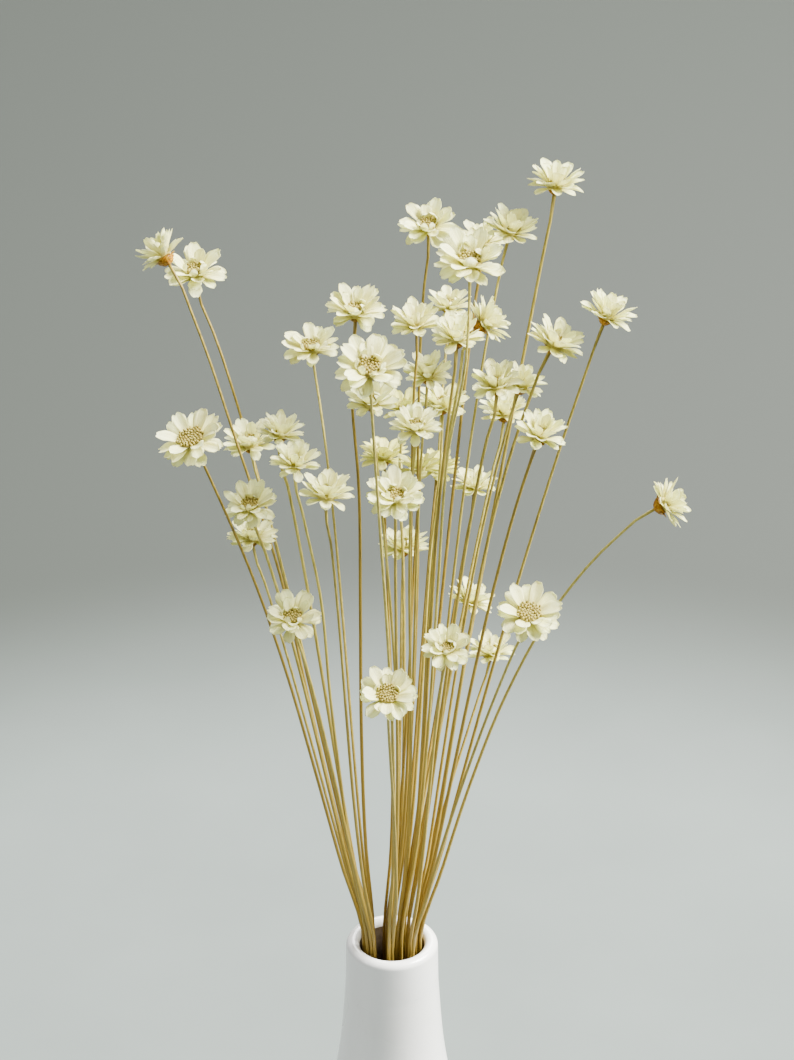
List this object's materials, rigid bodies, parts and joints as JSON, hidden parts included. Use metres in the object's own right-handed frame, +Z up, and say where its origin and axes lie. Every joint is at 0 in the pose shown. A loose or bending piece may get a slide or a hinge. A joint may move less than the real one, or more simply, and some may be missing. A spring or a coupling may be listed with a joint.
{
  "type": "bunch of dried star flowers in a bud vase",
  "caption": "Dried everlasting star flowers with papery cream petals and golden discs on thin wiry stems, fanning out of a slender white ceramic bud vase.",
  "frame": {"origin": "centre of the vase's flat foot, on the surface it stands on", "axes": "+Z up through the vase, -Y towards the front of the bunch, +X to its right"},
  "size_m": [0.1393, 0.1198, 0.3565],
  "materials": {
    "petal": "dry papery, matt with a faint sheen, cream paling to white at the tips",
    "straw": "dry golden straw, finely ribbed, satin",
    "glaze": "smooth white glaze, soft gloss"
  },
  "bodies": {
    "root": {"vase": "glaze", "stems_01": "straw", "stems_02": "straw", "stems_03": "straw", "stems_04": "straw", "stems_05": "straw", "stems_06": "straw", "stems_07": "straw", "stems_08": "straw", "stems_09": "straw", "stems_10": "straw", "stems_11": "straw", "stems_12": "straw", "stems_13": "straw", "stems_14": "straw", "petals_01": "petal", "petals_02": "petal", "petals_03": "petal", "petals_04": "petal", "petals_05": "petal", "petals_06": "petal", "petals_07": "petal", "petals_08": "petal", "petals_09": "petal", "petals_10": "petal", "petals_11": "petal", "petals_12": "petal", "petals_13": "petal", "petals_14": "petal", "petals_15": "petal", "petals_16": "petal", "petals_17": "petal", "petals_18": "petal", "petals_19": "petal", "petals_20": "petal", "petals_21": "petal", "petals_22": "petal", "petals_23": "petal", "petals_24": "petal", "petals_25": "petal", "petals_26": "petal", "petals_27": "petal", "petals_28": "petal", "petals_29": "petal", "petals_30": "petal", "petals_31": "petal", "petals_32": "petal", "petals_33": "petal", "petals_34": "petal", "petals_35": "petal", "petals_36": "petal", "petals_37": "petal", "petals_38": "petal", "petals_39": "petal", "petals_40": "petal", "petals_41": "petal", "petals_42": "petal", "petals_43": "petal", "petals_44": "petal", "petals_45": "petal"}
  },
  "joints": []
}
